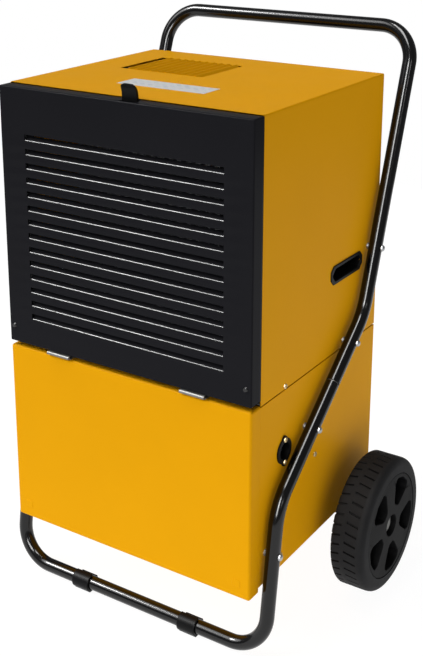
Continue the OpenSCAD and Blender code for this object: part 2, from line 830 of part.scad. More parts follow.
module humidistat() {
    color([0.3, 0.3, 0.3]) from_front() {
        block([knob_x - 18, cab_d - 30, control_z - 18], [knob_x + 18, cab_d - 2, control_z + 18]);
        cyl_y(4.9, cab_d - 2, plate_y - 0.2, knob_x, control_z);
        cyl_y(3, plate_y - 1, plate_y + 12, knob_x, control_z);
    }
}

module humidistat_knob() {
    flutes = 12;
    color([0.08, 0.08, 0.08]) from_front() translate([knob_x, plate_y + 0.5, control_z]) rotate([-90, 0, 0])
        difference() {
            union() {
                cylinder(h = 4, r = 20);
                cylinder(h = 17, r = 16);
                translate([-1.2, -15, 17]) cube([2.4, 15, 1]);
            }
            translate([0, 0, -1]) cylinder(h = 14, r = 3 + run_fit);
            for (i = [0 : flutes - 1]) rotate([0, 0, i * 360 / flutes + 15])
                translate([17.4, 0, 4.5]) cylinder(h = 20, r = 2.4);
        }
}

module switch_housing() {
    rim_x = 13;
    rim_z = 17;
    body_x = 10.8;
    body_z = 14.8;
    color([0.1, 0.1, 0.1]) from_front() {
        difference() {
            union() {
                block([rocker_x - rim_x, plate_y, control_z - rim_z],
                    [rocker_x + rim_x, plate_y + 2, control_z + rim_z]);
                block([rocker_x - body_x, cab_d - 24, control_z - body_z],
                    [rocker_x + body_x, plate_y + eps, control_z + body_z]);
            }
            block([rocker_x - 9.2, cab_d - 10, control_z - 13.5],
                [rocker_x + 9.2, plate_y + 3, control_z + 13.5]);
        }
        cyl_x(rocker_pin_r, rocker_x - 9.3, rocker_x + 9.3, cab_d - 2, control_z);
    }
}

// A two-winged rocker, shown pressed in at its lower end
module switch_rocker() {
    color([0.55, 0.06, 0.05]) from_front()
        translate([rocker_x, cab_d - 2, control_z]) rotate([-rocker_tilt, 0, 0]) difference() {
            rotate([90, 0, 90]) translate([0, 0, -8.8]) linear_extrude(17.6)
                polygon([[-3.5, -4], [2, -11.5], [8.2, -12.2], [5.8, 0], [8.2, 12.2], [2, 11.5], [-3.5, 4]]);
            cyl_x(rocker_pin_r + run_fit, -10, 10, 0, 0);
        }
}

module hour_meter() {
    color([0.85, 0.85, 0.85]) from_front() {
        block([meter_x - 20, plate_y, control_z - 14], [meter_x + 20, plate_y + 2.5, control_z + 14]);
        block([meter_x - 17.8, cab_d - 26, control_z - 11.8],
            [meter_x + 17.8, plate_y + eps, control_z + 11.8]);
    }
}

module indicator_lamps() {
    color([0.2, 0.6, 0.2]) from_front() for (i = [0 : 2])
        translate([lamps_x + i * lamp_step, cab_d - 14, control_z]) rotate([-90, 0, 0]) {
            cylinder(h = 17 + eps, r = 3.9);
            translate([0, 0, 17]) cylinder(h = 3, r1 = 5.5, r2 = 3.5);
        }
}

module mains_inlet() {
    face = half_w + 2.5;
    depth = 24;
    socket = 14;
    color([0.07, 0.07, 0.07]) from_front() {
        difference() {
            union() {
                cyl_x(19, half_w, face, inlet_y, inlet_z);
                for (k = [-1, 1]) cyl_x(6, half_w, face, inlet_y, inlet_z + k * inlet_screw_step);
                cyl_x(16, half_w - depth, face, inlet_y, inlet_z);
            }
            cyl_x(13, half_w - socket, face + 1, inlet_y, inlet_z);
            inlet_screw_places(half_w) cylinder(h = 20, r = screw_shank_r + 0.1, center = true);
        }
        for (a = [90, 210, 330])
            cyl_x(2, half_w - socket - 0.5, half_w - 6, inlet_y + 7 * cos(a), inlet_z + 7 * sin(a));
    }
}

module top_label() {
    color("whitesmoke") from_front() block([-73.5, 70, top_z], [73.5, 112, top_z + 0.4]);
}

module side_grips() {
    color([0.06, 0.06, 0.06]) from_front() both_sides() difference() {
        union() {
            grip_outline(half_w, half_w + 1.8);
            grip_outline(half_w - grip_depth, half_w + 1, -grip_rim);
        }
        grip_outline(half_w - grip_depth + 2, half_w + 5, -grip_rim - 1.5);
    }
}

// ---------------------------------------------------------------- trolley frame

function in_side(v) = [frame_x, v[0], v[1]];
function direction(v) = unit([0, v[0], v[1]]);

// Right half of the upper tube: handle bar, bend, arm, bend, down to the joint
handle_half = concat(
    bend_stations(in_side([handle_y, handle_z]), [1, 0, 0], -direction(arm_v), corner_r, 8),
    bend_stations(in_side(upper_bend), -direction(arm_v), -direction(diag_v), upper_bend_r, 4),
    [[in_side([joint_y, joint_z]) + direction(diag_v) * joint_gap / 2, -direction(diag_v)]]);

// Right half of the lower tube: foot bar, bend, leg, bend, up to the joint
foot_half = concat(
    bend_stations(in_side(foot_bar), [1, 0, 0], direction(leg_v), corner_r, 8),
    bend_stations(in_side(lower_bend), direction(leg_v), direction(diag_v), lower_bend_r, 5),
    [[in_side([joint_y, joint_z]) - direction(diag_v) * joint_gap / 2, direction(diag_v)]]);

module handle_tube() {
    color([0.05, 0.05, 0.05]) from_front() difference() {
        swept_tube(whole_tube(handle_half), cross([1, 0, 0], direction(arm_v)));
        both_sides() frame_bolt_holes(half_w, half_w + 50);
    }
}

module foot_tube() {
    color([0.05, 0.05, 0.05]) from_front() difference() {
        swept_tube(whole_tube(foot_half), cross([1, 0, 0], direction(leg_v)));
        both_sides() frame_bolt_holes(half_w, half_w + 50);
    }
}

// Places a child on the frame tube's centre line on both sides, its Z along the tube
module on_tube(y, z, slope) {
    both_sides() translate([frame_x, y, z]) rotate([-(90 - slope), 0, 0]) children();
}

module tube_joiners() {
    reach = 40;
    bore_r = tube_r - tube_wall;
    color("silver") from_front()
        on_tube(joint_y, joint_z, diag_slope)
            translate([0, 0, -reach]) ring(bore_r - 0.2, bore_r - 2.5, 2 * reach);
}

// Bolts through the tube, each with a spacer between tube and side and a nut inside the cabinet
module frame_bolts() {
    seat = frame_x + tube_r;
    color("silver") from_front() both_sides() frame_bolt_places() {
        translate([0, 0, inner_w - nut_h - 1.5]) cylinder(h = seat - inner_w + nut_h + 2, r = bolt_r);
        translate([0, 0, seat + 0.2])
            cylinder(h = bolt_head_h - 0.2, r1 = bolt_head_r, r2 = bolt_head_r * 0.72);
        translate([0, 0, half_w]) ring(bolt_head_r, bolt_r + run_fit, tube_stand_off - 0.1);
        translate([0, 0, inner_w - nut_h]) difference() {
            cylinder(h = nut_h, r = nut_r, $fn = 6);
            translate([0, 0, -1]) cylinder(h = nut_h + 2, r = bolt_r + run_fit);
        }
    }
}

module panel_screws() {
    color([0.2, 0.2, 0.2]) from_front() {
        both_sides() side_screw_places() pan_screw();
        inlet_screw_places(half_w + 2.5) pan_screw(9);
        rear_screw_places() pan_screw();
    }
}

module foot_pads() {
    pad_r = foot_bar[1];
    pad_w = 30;
    pad_x = 98;
    color([0.08, 0.08, 0.08]) from_front() both_sides() translate([pad_x, foot_bar[0], foot_bar[1]])
        difference() {
            union() {
                cyl_x(pad_r, -pad_w / 2, pad_w / 2, 0, 0);
                block([-pad_w / 2, -7, -foot_bar[1]], [pad_w / 2, 7, 0]);
            }
            cyl_x(tube_r + 0.1, -pad_w, pad_w, 0, 0);
            // the slit that the pad is snapped on through
            rotate([-35, 0, 0]) block([-pad_w, -6.5, 0], [pad_w, 6.5, 30]);
        }
}

// ---------------------------------------------------------------- axle and wheels

module axle() {
    color("silver") from_front() {
        cyl_x(axle_r, -axle_half, axle_half, axle_y, axle_z);
        // washers and the push-on caps that keep the wheels on
        both_sides() {
            translate([wheel_x - 3.3, axle_y, axle_z]) rotate([0, 90, 0]) ring(15, axle_r, 3);
            translate([axle_half - 5.7, axle_y, axle_z]) rotate([0, 90, 0]) ring(13, axle_r, 4);
        }
    }
}

module axle_brackets() {
    color([0.1, 0.1, 0.1]) from_front() both_sides() difference() {
        union() {
            block([bracket_x, axle_y - 24, axle_z - 2], [bracket_x + 4, axle_y + 24, side_bottom_z]);
            block([bracket_x, axle_y - 24, side_bottom_z - 3], [bracket_x + 17, axle_y + 24, side_bottom_z]);
            cyl_x(axle_r + 4.5, bracket_x, bracket_x + 4, axle_y, axle_z);
        }
        cyl_x(axle_r, bracket_x - 1, bracket_x + 30, axle_y, axle_z);
        // the eye stops at the underside of the cabinet
        block([bracket_x - 1, axle_y - 30, side_bottom_z], [bracket_x + 30, axle_y + 30, side_bottom_z + 10]);
    }
}

// Wheel centre on the +X side: a solid disc with tapered pockets and a recessed hub
module wheel_centre() {
    web = 12;
    pocket_depth = wheel_w - web;
    translate([wheel_x, axle_y, axle_z]) rotate([0, 90, 0]) difference() {
        cylinder(h = wheel_w, r = rim_r);
        translate([0, 0, -1]) cylinder(h = wheel_w + 2, r = axle_r + run_fit);
        translate([0, 0, wheel_w - hub_recess]) cylinder(h = hub_recess + 1, r = hub_recess_r);
        for (i = [0 : spokes - 1]) rotate([0, 0, i * 360 / spokes + spoke_turn])
            translate([0, 0, wheel_w - pocket_depth]) linear_extrude(pocket_depth + 1)
                polygon([[32, -6], [37, -11], [60, -23], [71, -23], [75, -14], [76, 0], [75, 14], [71, 23],
                    [60, 23], [37, 11], [32, 6]]);
    }
}

module tyre() {
    bevel = 9;
    translate([wheel_x, axle_y, axle_z]) rotate([0, 90, 0]) rotate_extrude()
        polygon([[rim_r, 0], [wheel_r - bevel, 0], [wheel_r, 4], [wheel_r, wheel_w - bevel],
            [wheel_r - 4, wheel_w - 2], [wheel_r - bevel - 4, wheel_w], [rim_r, wheel_w]]);
}

module wheel_right() { color([0.13, 0.13, 0.13]) from_front() wheel_centre(); }
module wheel_left() { color([0.13, 0.13, 0.13]) from_front() mirror([1, 0, 0]) wheel_centre(); }
module tyre_right() { color([0.1, 0.1, 0.1]) from_front() tyre(); }
module tyre_left() { color([0.1, 0.1, 0.1]) from_front() mirror([1, 0, 0]) tyre(); }

upper_hood();
lower_side_left();
lower_side_right();
base_pan();
lower_front_panel();
rear_upper_panel();
rear_lower_panel();
front_frame();
equipment_shelf();
fan_baffle();
front_door();
filter_channels();
door_gasket();
filter_frame();
filter_mesh();
evaporator();
condenser();
compressor();
compressor_feet();
suction_pipe();
discharge_pipe();
filter_drier();
drip_tray();
drain_hose();
water_tank();
float_lever();
float_bracket();
float_switch();
fan_motor();
motor_bracket();
fan_rotor();
outlet_guard();
electrical_box();
run_capacitor();
control_plate();
humidistat();
humidistat_knob();
switch_housing();
switch_rocker();
hour_meter();
indicator_lamps();
mains_inlet();
top_label();
side_grips();
latch_lever();
door_fasteners();
hinge_body_leaves();
hinge_door_leaves();
handle_tube();
foot_tube();
tube_joiners();
frame_bolts();
panel_screws();
foot_pads();
axle();
axle_brackets();
wheel_left();
wheel_right();
tyre_left();
tyre_right();
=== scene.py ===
"""Looks of the portable dehumidifier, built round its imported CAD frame.

Pieces are drawn in the cabinet's own millimetres: x across, y back from the front edge of the side panels,
z up from the floor. make() turns a drawing into a Blender object in metres, in the frame's own place.
"""
import json
import math

import bmesh
import bpy
from mathutils import Matrix, Vector

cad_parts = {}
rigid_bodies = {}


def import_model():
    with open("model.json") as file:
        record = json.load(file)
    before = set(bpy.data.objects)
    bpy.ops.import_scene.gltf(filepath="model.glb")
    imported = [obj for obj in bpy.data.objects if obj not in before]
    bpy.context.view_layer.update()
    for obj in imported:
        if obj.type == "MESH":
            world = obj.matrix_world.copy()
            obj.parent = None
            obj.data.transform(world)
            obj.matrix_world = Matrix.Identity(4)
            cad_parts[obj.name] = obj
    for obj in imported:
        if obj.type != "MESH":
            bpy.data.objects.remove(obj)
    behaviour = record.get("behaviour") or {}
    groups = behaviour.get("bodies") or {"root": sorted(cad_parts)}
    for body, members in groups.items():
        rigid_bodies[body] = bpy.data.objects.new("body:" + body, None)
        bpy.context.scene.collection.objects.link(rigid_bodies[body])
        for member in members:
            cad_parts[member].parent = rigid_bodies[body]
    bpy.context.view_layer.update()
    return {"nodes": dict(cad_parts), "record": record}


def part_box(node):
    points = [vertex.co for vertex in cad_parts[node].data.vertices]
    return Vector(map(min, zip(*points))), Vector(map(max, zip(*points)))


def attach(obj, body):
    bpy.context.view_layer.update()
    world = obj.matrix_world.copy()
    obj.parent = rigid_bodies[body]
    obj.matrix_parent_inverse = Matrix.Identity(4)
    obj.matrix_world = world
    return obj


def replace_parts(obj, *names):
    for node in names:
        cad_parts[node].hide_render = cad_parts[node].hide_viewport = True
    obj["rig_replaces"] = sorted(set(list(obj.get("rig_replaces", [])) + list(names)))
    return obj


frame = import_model()

MM = 0.001
FRONT_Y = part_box("upper_hood")[0].y
SIDES = (-1, 1)


def span(node):
    """A CAD node's lowest and highest corners, in the cabinet's own millimetres."""
    shift = Vector((0, FRONT_Y, 0))
    return [(corner - shift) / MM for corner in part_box(node)]


# ------------------------------------------------------------------ materials

class Nodes:
    """The node graph of one material, with the few steps that the materials here are made of."""

    def __init__(self, name):
        self.mat = bpy.data.materials.new(name)
        self.mat.use_nodes = True
        self.tree = self.mat.node_tree
        self.shader = self.tree.nodes["Principled BSDF"]
        self.place = self.tree.nodes.new("ShaderNodeTexCoord").outputs["Object"]

    def node(self, kind, values=(), **links):
        made = self.tree.nodes.new(kind)
        for key, value in values:
            if isinstance(key, str) and not hasattr(made, key):
                made.inputs[key].default_value = value
            elif isinstance(key, str):
                setattr(made, key, value)
            else:
                made.inputs[key].default_value = value
        for key, source in links.items():
            self.tree.links.new(source, made.inputs[key.replace("_", " ")])
        return made

    def stretched(self, scale):
        made = self.node("ShaderNodeMapping", Vector=self.place)
        made.inputs["Scale"].default_value = scale
        return made.outputs["Vector"]

    def noise(self, scale, detail=2.0, stretch=None):
        at = self.place if stretch is None else self.stretched(stretch)
        made = self.node("ShaderNodeTexNoise", [("Scale", scale), ("Detail", detail)], Vector=at)
        return made.outputs["Fac"]

    def cells(self, scale, feature="F1"):
        made = self.node("ShaderNodeTexVoronoi", [("feature", feature), ("Scale", scale)], Vector=self.place)
        return made.outputs["Color"] if feature == "F1" else made.outputs["Distance"]

    def between(self, fac, low, high):
        made = self.node("ShaderNodeMapRange", [("To Min", low), ("To Max", high)], Value=fac)
        return made.outputs["Result"]

    def tint(self, fac, low, high, edge=(0.3, 0.7)):
        made = self.node("ShaderNodeValToRGB", Fac=fac)
        ramp = made.color_ramp.elements
        ramp[0].position, ramp[1].position = edge
        ramp[0].color, ramp[1].color = (*low, 1), (*high, 1)
        return made.outputs["Color"]

    def bump(self, height, strength, depth):
        made = self.node("ShaderNodeBump", [("Strength", strength), ("Distance", depth * MM)], Height=height)
        return made.outputs["Normal"]

    def wire(self, **sockets):
        for key, source in sockets.items():
            self.tree.links.new(source, self.shader.inputs[key.replace("_", " ")])

    def fixed(self, **sockets):
        for key, value in sockets.items():
            self.shader.inputs[key.replace("_", " ")].default_value = value


def shade(colour, k):
    return tuple(min(1.0, c * k) for c in colour)


def coated(name, colour, rough, peel=0.25, peel_size=1.4, specular=0.25, ior=1.5, drift=0.03):
    """Powder coat or moulded plastic: a fine skin texture, slight drifts of colour and of gloss."""
    n = Nodes(name)
    drifting = n.noise(9, 3)
    n.wire(Base_Color=n.tint(drifting, shade(colour, 1 - drift), shade(colour, 1 + drift)))
    n.wire(Roughness=n.between(n.noise(26, 4), rough * 0.88, rough * 1.14))
    n.wire(Normal=n.bump(n.noise(1 / (peel_size * MM), 1.5), peel, 0.06 * peel_size))
    n.fixed(Specular_IOR_Level=specular, IOR=ior)
    return n.mat


def rolled(name, colour, rough, stretch=(1, 1, 30), grain=120, spangle=0.0):
    """Bare metal: rolling or turning marks along one direction, or the spangle of zinc."""
    n = Nodes(name)
    marks = n.noise(grain, 5, stretch)
    if spangle:
        flakes = n.cells(spangle)
        n.wire(Base_Color=n.tint(flakes, shade(colour, 0.82), shade(colour, 1.1), (0.1, 0.9)))
        n.wire(Roughness=n.between(flakes, rough * 0.75, rough * 1.3))
    else:
        n.wire(Base_Color=n.tint(marks, shade(colour, 0.9), shade(colour, 1.06)))
        n.wire(Roughness=n.between(marks, rough * 0.8, rough * 1.25))
    n.wire(Normal=n.bump(marks, 0.12, 0.03))
    n.fixed(Metallic=1.0)
    return n.mat


def soft(name, colour, rough, pore=0.9, depth=0.25, strength=0.5):
    """Rubber and foam: dull, with pores."""
    n = Nodes(name)
    n.wire(Base_Color=n.tint(n.noise(40, 5), shade(colour, 0.8), shade(colour, 1.25)))
    n.wire(Roughness=n.between(n.noise(90, 3), rough * 0.92, min(1.0, rough * 1.08)))
    n.wire(Normal=n.bump(n.noise(1 / (pore * MM), 3), strength, depth))
    n.fixed(Specular_IOR_Level=0.15)
    return n.mat


def clear(name, colour, rough, transmission):
    """Moulded translucent plastic."""
    n = Nodes(name)
    n.wire(Base_Color=n.tint(n.noise(14, 3), shade(colour, 0.96), shade(colour, 1.02)))
    n.wire(Roughness=n.between(n.noise(60, 3), rough * 0.85, rough * 1.15))
    n.wire(Normal=n.bump(n.noise(300, 2), 0.1, 0.05))
    n.fixed(Transmission_Weight=transmission)
    return n.mat


def printed(name, paper, ink):
    """A label with a few rows of generic marks."""
    n = Nodes(name)
    rows = n.node("ShaderNodeTexBrick", [("Scale", 26.0), ("Mortar Size", 0.07), ("Brick Width", 0.34),
                                         ("Row Height", 0.2), ("Color1", (*ink, 1)), ("Color2", (*paper, 1)),
                                         ("Mortar", (*paper, 1))], Vector=n.stretched((1, 1, 0.0)))
    n.wire(Base_Color=rows.outputs["Color"])
    n.wire(Roughness=n.between(n.noise(40, 3), 0.3, 0.4))
    n.wire(Normal=n.bump(n.noise(600, 1.5), 0.05, 0.05))
    n.fixed(Specular_IOR_Level=0.3)
    return n.mat


YELLOW = (0.9, 0.41, 0.0025)

MATERIALS = {
    "yellow_paint": coated("yellow_paint", YELLOW, 0.34, 0.16, 1.6, specular=0.015, drift=0.012),
    "pan_paint": coated("pan_paint", shade(YELLOW, 0.93), 0.42, 0.2, 1.6, specular=0.015),
    "black_satin_paint": coated("black_satin_paint", (0.0145, 0.0145, 0.0172), 0.22, 0.12, 0.9,
                                specular=0.02),
    "black_gloss_tube": coated("black_gloss_tube", (0.0025, 0.0025, 0.003), 0.15, 0.05, 2.5, specular=0.4),
    "galvanised_sheet": rolled("galvanised_sheet", (0.3, 0.31, 0.32), 0.62, spangle=120),
    "aluminium_fins": rolled("aluminium_fins", (0.36, 0.37, 0.38), 0.6, (1, 1, 12)),
    "black_can_paint": coated("black_can_paint", (0.012, 0.012, 0.013), 0.38, 0.3, 1.1),
    "copper": rolled("copper", (0.71, 0.33, 0.19), 0.3, (1, 1, 6)),
    "foam_rubber": soft("foam_rubber", (0.012, 0.012, 0.013), 0.95, 0.7, 0.4),
    "black_rubber": soft("black_rubber", (0.009, 0.009, 0.009), 0.8),
    "tyre_rubber": soft("tyre_rubber", (0.0115, 0.0115, 0.0125), 0.7, 0.6, 0.1, 0.35),
    "black_plastic": coated("black_plastic", (0.005, 0.005, 0.0055), 0.38, 0.3, 0.6, specular=0.1),
    "wheel_plastic": coated("wheel_plastic", (0.009, 0.009, 0.0095), 0.5, 0.3, 0.7, specular=0.03),
    "filter_plastic": coated("filter_plastic", (0.03, 0.032, 0.036), 0.55, 0.3, 0.7),
    "tray_plastic": coated("tray_plastic", (0.04, 0.042, 0.046), 0.45, 0.25, 0.8),
    "tank_plastic": clear("tank_plastic", (0.8, 0.85, 0.88), 0.3, 0.55),
    "float_plastic": coated("float_plastic", (0.78, 0.78, 0.75), 0.45, 0.2, 0.8),
    "clear_hose": clear("clear_hose", (0.75, 0.78, 0.74), 0.25, 0.6),
    "motor_paint": coated("motor_paint", (0.06, 0.064, 0.07), 0.45, 0.4, 1.0),
    "guard_wire": coated("guard_wire", (0.006, 0.006, 0.0065), 0.28, 0.12, 1.2),
    "capacitor_can": rolled("capacitor_can", (0.42, 0.43, 0.44), 0.4, (1, 1, 8)),
    "red_rocker": coated("red_rocker", (0.5, 0.012, 0.008), 0.25, 0.08, 1.0, specular=0.4),
    "meter_face": coated("meter_face", (0.6, 0.61, 0.6), 0.3, 0.06, 1.0, specular=0.4),
    "lamp_lens": coated("lamp_lens", (0.04, 0.36, 0.07), 0.16, 0.04, 1.5, specular=0.5),
    "label_film": printed("label_film", (0.82, 0.83, 0.83), (0.48, 0.56, 0.64)),
    "steel": rolled("steel", (0.22, 0.22, 0.21), 0.5, (8, 1, 1), 200),
    "zinc": rolled("zinc", (0.42, 0.43, 0.44), 0.36, (1, 1, 1), 260),
    "yellow_zinc": rolled("yellow_zinc", (0.72, 0.56, 0.3), 0.3, (1, 1, 1), 260),
    "black_steel": coated("black_steel", (0.006, 0.006, 0.007), 0.25, 0.05, 0.8, specular=0.5),
}


# ------------------------------------------------------------------ mesh code

def unit(v):
    return Vector(v).normalized()


def axes(axis):
    """Two directions square to an axis, so that u, v and the axis are right-handed."""
    w = unit(axis)
    u = w.cross(Vector((0, 0, 1)) if abs(w.z) < 0.9 else Vector((0, 1, 0))).normalized()
    return u, w.cross(u), w


def circle(centre, axis, radius, sides=32, turn=0.0):
    u, v, _ = axes(axis)
    steps = (turn + 2 * math.pi * i / sides for i in range(sides))
    return [Vector(centre) + radius * (u * math.cos(a) + v * math.sin(a)) for a in steps]


def rounded(points, radius, steps=5, closed=True):
    """A 2D outline with its corners rounded by arcs. radius is one number, or one for each corner."""
    count = len(points)
    radii = [radius] * count if isinstance(radius, (int, float)) else radius
    out = []
    for i, p in enumerate(points):
        p, r = Vector(p), radii[i]
        if r <= 0 or (not closed and i in (0, count - 1)):
            out.append(p)
            continue
        a, b = (Vector(points[i - 1]) - p).normalized(), (Vector(points[(i + 1) % count]) - p).normalized()
        half = a.angle(b) / 2
        middle = p + (a + b).normalized() * (r / math.sin(half))
        start = p + a * (r / math.tan(half)) - middle
        turn = (math.pi - 2 * half) * (1 if a.x * b.y - a.y * b.x < 0 else -1)
        for k in range(steps + 1):
            c, s = math.cos(turn * k / steps), math.sin(turn * k / steps)
            out.append(middle + Vector((c * start.x - s * start.y, s * start.x + c * start.y)))
    return out


def ribbon(path, thickness):
    """The outline of a strip of sheet metal that is folded along an open 2D path, to the left of it."""
    normals = []
    for i in range(len(path)):
        d = (path[min(i + 1, len(path) - 1)] - path[max(i - 1, 0)]).normalized()
        normals.append(Vector((-d.y, d.x)))
    return list(path) + [p + n * thickness for p, n in reversed(list(zip(path, normals)))]


class Drawing:
    """Mesh code for one piece, in the cabinet's own millimetres."""

    def __init__(self):
        self.bm = bmesh.new()

    def loft(self, rings, caps=True, loop=False):
        """Rings of equally many points joined one to the next."""
        made = [[self.bm.verts.new(p) for p in ring] for ring in rings]
        pairs = list(zip(made, made[1:])) + ([(made[-1], made[0])] if loop else [])
        for low, high in pairs:
            for i in range(len(low)):
                self.bm.faces.new((low[i - 1], low[i], high[i], high[i - 1]))
        if caps and not loop:
            self.bm.faces.new(made[0][::-1])
            self.bm.faces.new(made[-1])
        return self

    def block(self, low, high):
        (x0, y0, z0), (x1, y1, z1) = low, high
        return self.loft([[(x0, y0, z), (x1, y0, z), (x1, y1, z), (x0, y1, z)] for z in (z0, z1)])

    def rod(self, start, end, radius, sides=24):
        start, end = Vector(start), Vector(end)
        return self.loft([circle(p, end - start, radius, sides) for p in (start, end)])

    def lathe(self, centre, axis, profile, sides=64, loop=False):
        """profile holds (distance along the axis, radius) pairs."""
        w = unit(axis)
        return self.loft([circle(Vector(centre) + w * t, w, r, sides) for t, r in profile], loop=loop)

    def ring(self, centre, axis, inner, outer, t0, t1, sides=64):
        return self.lathe(centre, axis, [(t0, inner), (t0, outer), (t1, outer), (t1, inner)], sides, True)

    def torus(self, centre, axis, radius, wire, sides=64, wire_sides=8):
        turns = [2 * math.pi * i / wire_sides for i in range(wire_sides)]
        profile = [(wire * math.sin(a), radius + wire * math.cos(a)) for a in turns]
        return self.lathe(centre, axis, profile, sides, True)

    def stations(self, path):
        path = [Vector(p) for p in path]
        last = len(path) - 1
        return [(p, (path[min(i + 1, last)] - path[max(i - 1, 0)]).normalized()) for i, p in enumerate(path)]

    def pipe(self, path, radius, sides=24, bore=0.0, square_to=(0, 0, 1)):
        """A round bar or tube along a path. square_to is a direction that the path never runs along."""
        def rings(r):
            out = []
            for p, d in self.stations(path):
                u = d.cross(Vector(square_to)).normalized()
                v = d.cross(u)
                turns = (2 * math.pi * i / sides for i in range(sides))
                out.append([p + r * (u * math.cos(a) + v * math.sin(a)) for a in turns])
            return out
        if bore:
            return self.loft(rings(radius) + rings(bore)[::-1], loop=True)
        return self.loft(rings(radius))

    def prism(self, outline, place, t0, t1):
        return self.loft([[place(p[0], p[1], t) for p in outline] for t in (t0, t1)])

    def sheet_with_holes(self, outline, holes, place, t):
        rings = [[self.bm.verts.new(place(p[0], p[1], t)) for p in loop] for loop in (outline, *holes)]
        edges = [self.bm.edges.new((ring[i - 1], ring[i])) for ring in rings for i in range(len(ring))]
        bmesh.ops.triangle_fill(self.bm, use_beauty=True, edges=edges)
        return rings

    def add(self, other, matrix):
        """Another drawing's mesh, moved by a matrix. The other drawing stays as it is."""
        mesh = bpy.data.meshes.new("part")
        other.bm.to_mesh(mesh)
        mesh.transform(matrix)
        if matrix.determinant() < 0:
            mesh.flip_normals()
        self.bm.from_mesh(mesh)
        bpy.data.meshes.remove(mesh)
        return self

    def cad(self, node):
        """A CAD node's own mesh, with its flat faces made whole again."""
        mesh = frame["nodes"][node].data.copy()
        mesh.transform(Matrix.Scale(1 / MM, 4) @ Matrix.Translation((0, -FRONT_Y, 0)))
        part = bmesh.new()
        part.from_mesh(mesh)
        bmesh.ops.remove_doubles(part, verts=part.verts, dist=0.002)
        bmesh.ops.dissolve_limit(part, angle_limit=math.radians(0.6), verts=part.verts, edges=part.edges)
        part.to_mesh(mesh)
        part.free()
        self.bm.from_mesh(mesh)
        bpy.data.meshes.remove(mesh)
        return self


def across_x(u, v, t):
    return (t, u, v)


def across_y(u, v, t):
    return (u, t, v)


def across_z(u, v, t):
    return (u, v, t)


def mirrored(drawing):
    """The drawing and its mirror image across the middle of the cabinet."""
    both = Drawing()
    both.add(drawing, Matrix.Identity(4)).add(drawing, Matrix.Scale(-1, 4, (1, 0, 0)))
    return both


def make(name, drawing, body, slot, *replaced, bevel=0.0, segments=2, wall=0.0, sharp=45, limit=35):
    """Turns a drawing into a piece of the object, with its edges bevelled and its material on."""
    bm = drawing.bm
    bmesh.ops.remove_doubles(bm, verts=bm.verts, dist=0.001)
    bmesh.ops.recalc_face_normals(bm, faces=bm.faces)
    bmesh.ops.transform(bm, matrix=Matrix.Translation((0, FRONT_Y, 0)) @ Matrix.Scale(MM, 4), verts=bm.verts)
    mesh = bpy.data.meshes.new(name)
    bm.to_mesh(mesh)
    bm.free()
    obj = bpy.data.objects.new(name, mesh)
    bpy.context.scene.collection.objects.link(obj)
    mesh.shade_smooth()
    mesh.set_sharp_from_angle(angle=math.radians(sharp))
    if bevel:
        mod = obj.modifiers.new("bevel", "BEVEL")
        mod.width, mod.segments = bevel * MM, segments
        mod.limit_method, mod.angle_limit = "ANGLE", math.radians(limit)
    if wall:
        mod = obj.modifiers.new("wall", "SOLIDIFY")
        mod.thickness, mod.offset, mod.use_even_offset = abs(wall) * MM, -1 if wall > 0 else 1, True
    if bevel or wall:
        obj.modifiers.new("flats", "WEIGHTED_NORMAL").keep_sharp = True
        bpy.context.view_layer.update()
        built = bpy.data.meshes.new_from_object(obj.evaluated_get(bpy.context.evaluated_depsgraph_get()))
        obj.modifiers.clear()
        obj.data = built
        built.name = name
        bpy.data.meshes.remove(mesh)
    obj.data.materials.clear()
    obj.data.materials.append(MATERIALS[slot])
    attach(obj, body)
    if replaced:
        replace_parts(obj, *replaced)
    return obj


BODY_OF = {node: body for body, nodes in frame["record"]["behaviour"]["bodies"].items() for node in nodes}
SLOT_OF = {part["node"]: part["material_slot"] for part in frame["record"]["subparts"]}


def soften(node, bevel=0.5, segments=2, extra=None, **how):
    """The CAD node's own shape with rounded edges, and any extra drawn detail."""
    drawing = Drawing().cad(node)
    if extra:
        drawing.add(extra, Matrix.Identity(4))
    return make(node + "_shell", drawing, BODY_OF[node], SLOT_OF[node], node,
                bevel=bevel, segments=segments, **how)


def replace(node, drawing, **how):
    """A drawn piece that stands for one CAD node."""
    return make(node + "_detail", drawing, BODY_OF[node], SLOT_OF[node], node, **how)


def islands(node):
    """The lowest and highest corners of each separate piece of a CAD node."""
    part = Drawing().cad(node).bm
    left, found = set(part.verts), []
    while left:
        group, edge = set(), [left.pop()]
        while edge:
            v = edge.pop()
            group.add(v)
            for e in v.link_edges:
                other = e.other_vert(v)
                if other in left:
                    left.remove(other)
                    edge.append(other)
        found.append([Vector(f(v.co[k] for v in group) for k in range(3)) for f in (min, max)])
    part.free()
    return sorted(found, key=lambda pair: tuple(round(c, 2) for c in pair[0]))


# ------------------------------------------------------------------ cabinet

CAB_LOW, CAB_HIGH = span("upper_hood")
HALF_W, CAB_D, TOP_Z, SPLIT_Z = CAB_HIGH.x, CAB_HIGH.y, span("top_label")[0].z, CAB_LOW.z
SHEET = 1.5
SEAM = 1.6
DOOR_LOW, DOOR_HIGH = span("front_door")
VENT_X, VENT_Y = (-147, 3), (174, 289)
VENT_SLOT, VENT_BLADES = 16, 10


def grid_face(drawing, place, us, vs, holes, t=0.0):
    """A flat face cut into cells along us and vs. holes lists the (u, v) cells that are left open."""
    points = [[drawing.bm.verts.new(place(u, v, t)) for v in vs] for u in us]
    for i in range(len(us) - 1):
        for j in range(len(vs) - 1):
            if (i, j) not in holes:
                a, b = points[i], points[i + 1]
                drawing.bm.faces.new((a[j], b[j], b[j + 1], a[j + 1]))


def rows_between(marks, low, high):
    return [j for j in range(len(marks) - 1) if marks[j] >= low and marks[j + 1] <= high]


